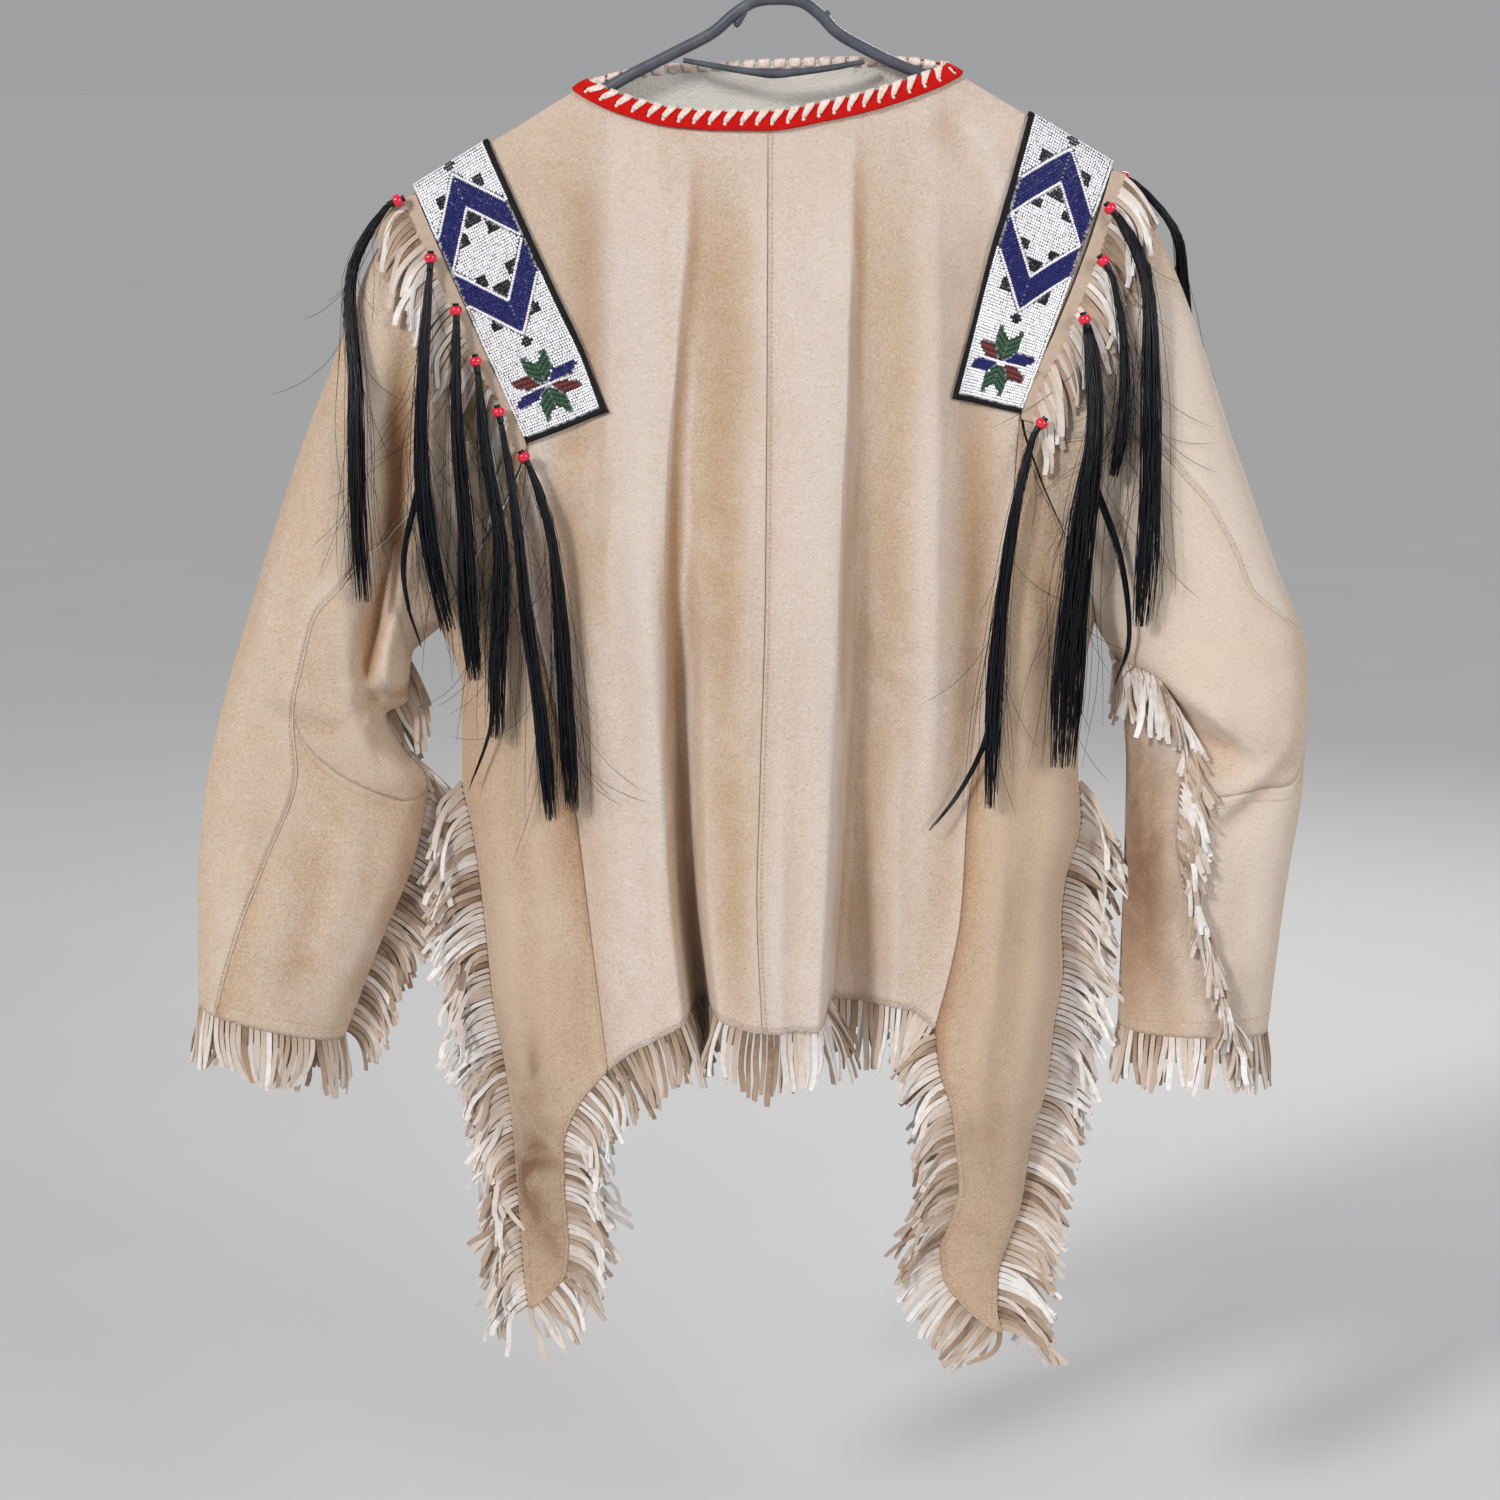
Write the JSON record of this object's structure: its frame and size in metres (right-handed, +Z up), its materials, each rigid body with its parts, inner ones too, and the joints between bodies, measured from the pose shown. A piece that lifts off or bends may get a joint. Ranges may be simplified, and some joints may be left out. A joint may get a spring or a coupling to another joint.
{
  "type": "war shirt on a hanger",
  "caption": "Suede war shirt with beaded shoulder bands, cut fringe, hair locks and pointed side tails, hung on a tubular hanger.",
  "frame": {"origin": "inside top of the hanger's hook, where it hangs on a rail", "axes": "+Z up; the back of the shirt faces -Y and its front faces +Y; +X to the right as the back is seen"},
  "size_m": [0.8373, 0.1707, 1.1291],
  "materials": {
    "suede": "napped cream suede, darker in the folds",
    "fringe": "pale cut suede strips",
    "hair": "straight black horse hair with a red crow bead",
    "beadwork": "opaque glass seed beads in rows",
    "felt": "red wool felt, laced over its edge with pale leather",
    "hanger_plastic": "slate grey moulded plastic",
    "hook_steel": "plated wire"
  },
  "bodies": {
    "root": {"back_left": "suede", "back_right": "suede", "front": "suede", "side_back_left": "suede", "side_back_right": "suede", "side_front_left": "suede", "side_front_right": "suede", "sleeve_left_outer": "suede", "sleeve_left_gusset": "suede", "sleeve_left_lower": "suede", "sleeve_right_outer": "suede", "sleeve_right_gusset": "suede", "sleeve_right_lower": "suede", "hem_fringe_back": "fringe", "hem_fringe_front": "fringe", "side_fringe_left": "fringe", "side_fringe_right": "fringe", "tail_fringe_back_left": "fringe", "tail_fringe_back_right": "fringe", "tail_fringe_front_left": "fringe", "tail_fringe_front_right": "fringe", "cuff_fringe_left": "fringe", "cuff_fringe_right": "fringe", "underarm_fringe_left": "fringe", "underarm_fringe_right": "fringe", "shoulder_fringe_back_left": "fringe", "shoulder_fringe_back_right": "fringe", "shoulder_fringe_front_left": "fringe", "shoulder_fringe_front_right": "fringe", "lock_left_1": "hair", "lock_left_2": "hair", "lock_left_3": "hair", "lock_left_4": "hair", "lock_left_5": "hair", "lock_left_6": "hair", "lock_right_1": "hair", "lock_right_2": "hair", "lock_right_3": "hair", "lock_right_4": "hair", "lock_right_5": "hair", "lock_front_left_1": "hair", "lock_front_left_2": "hair", "lock_front_left_3": "hair", "lock_front_right_1": "hair", "lock_front_right_2": "hair", "lock_front_right_3": "hair", "strip_left": "beadwork", "strip_right": "beadwork", "neck_trim": "felt", "hanger": "hanger_plastic", "hanger_bar": "hanger_plastic", "hanger_hook": "hook_steel"}
  },
  "joints": []
}
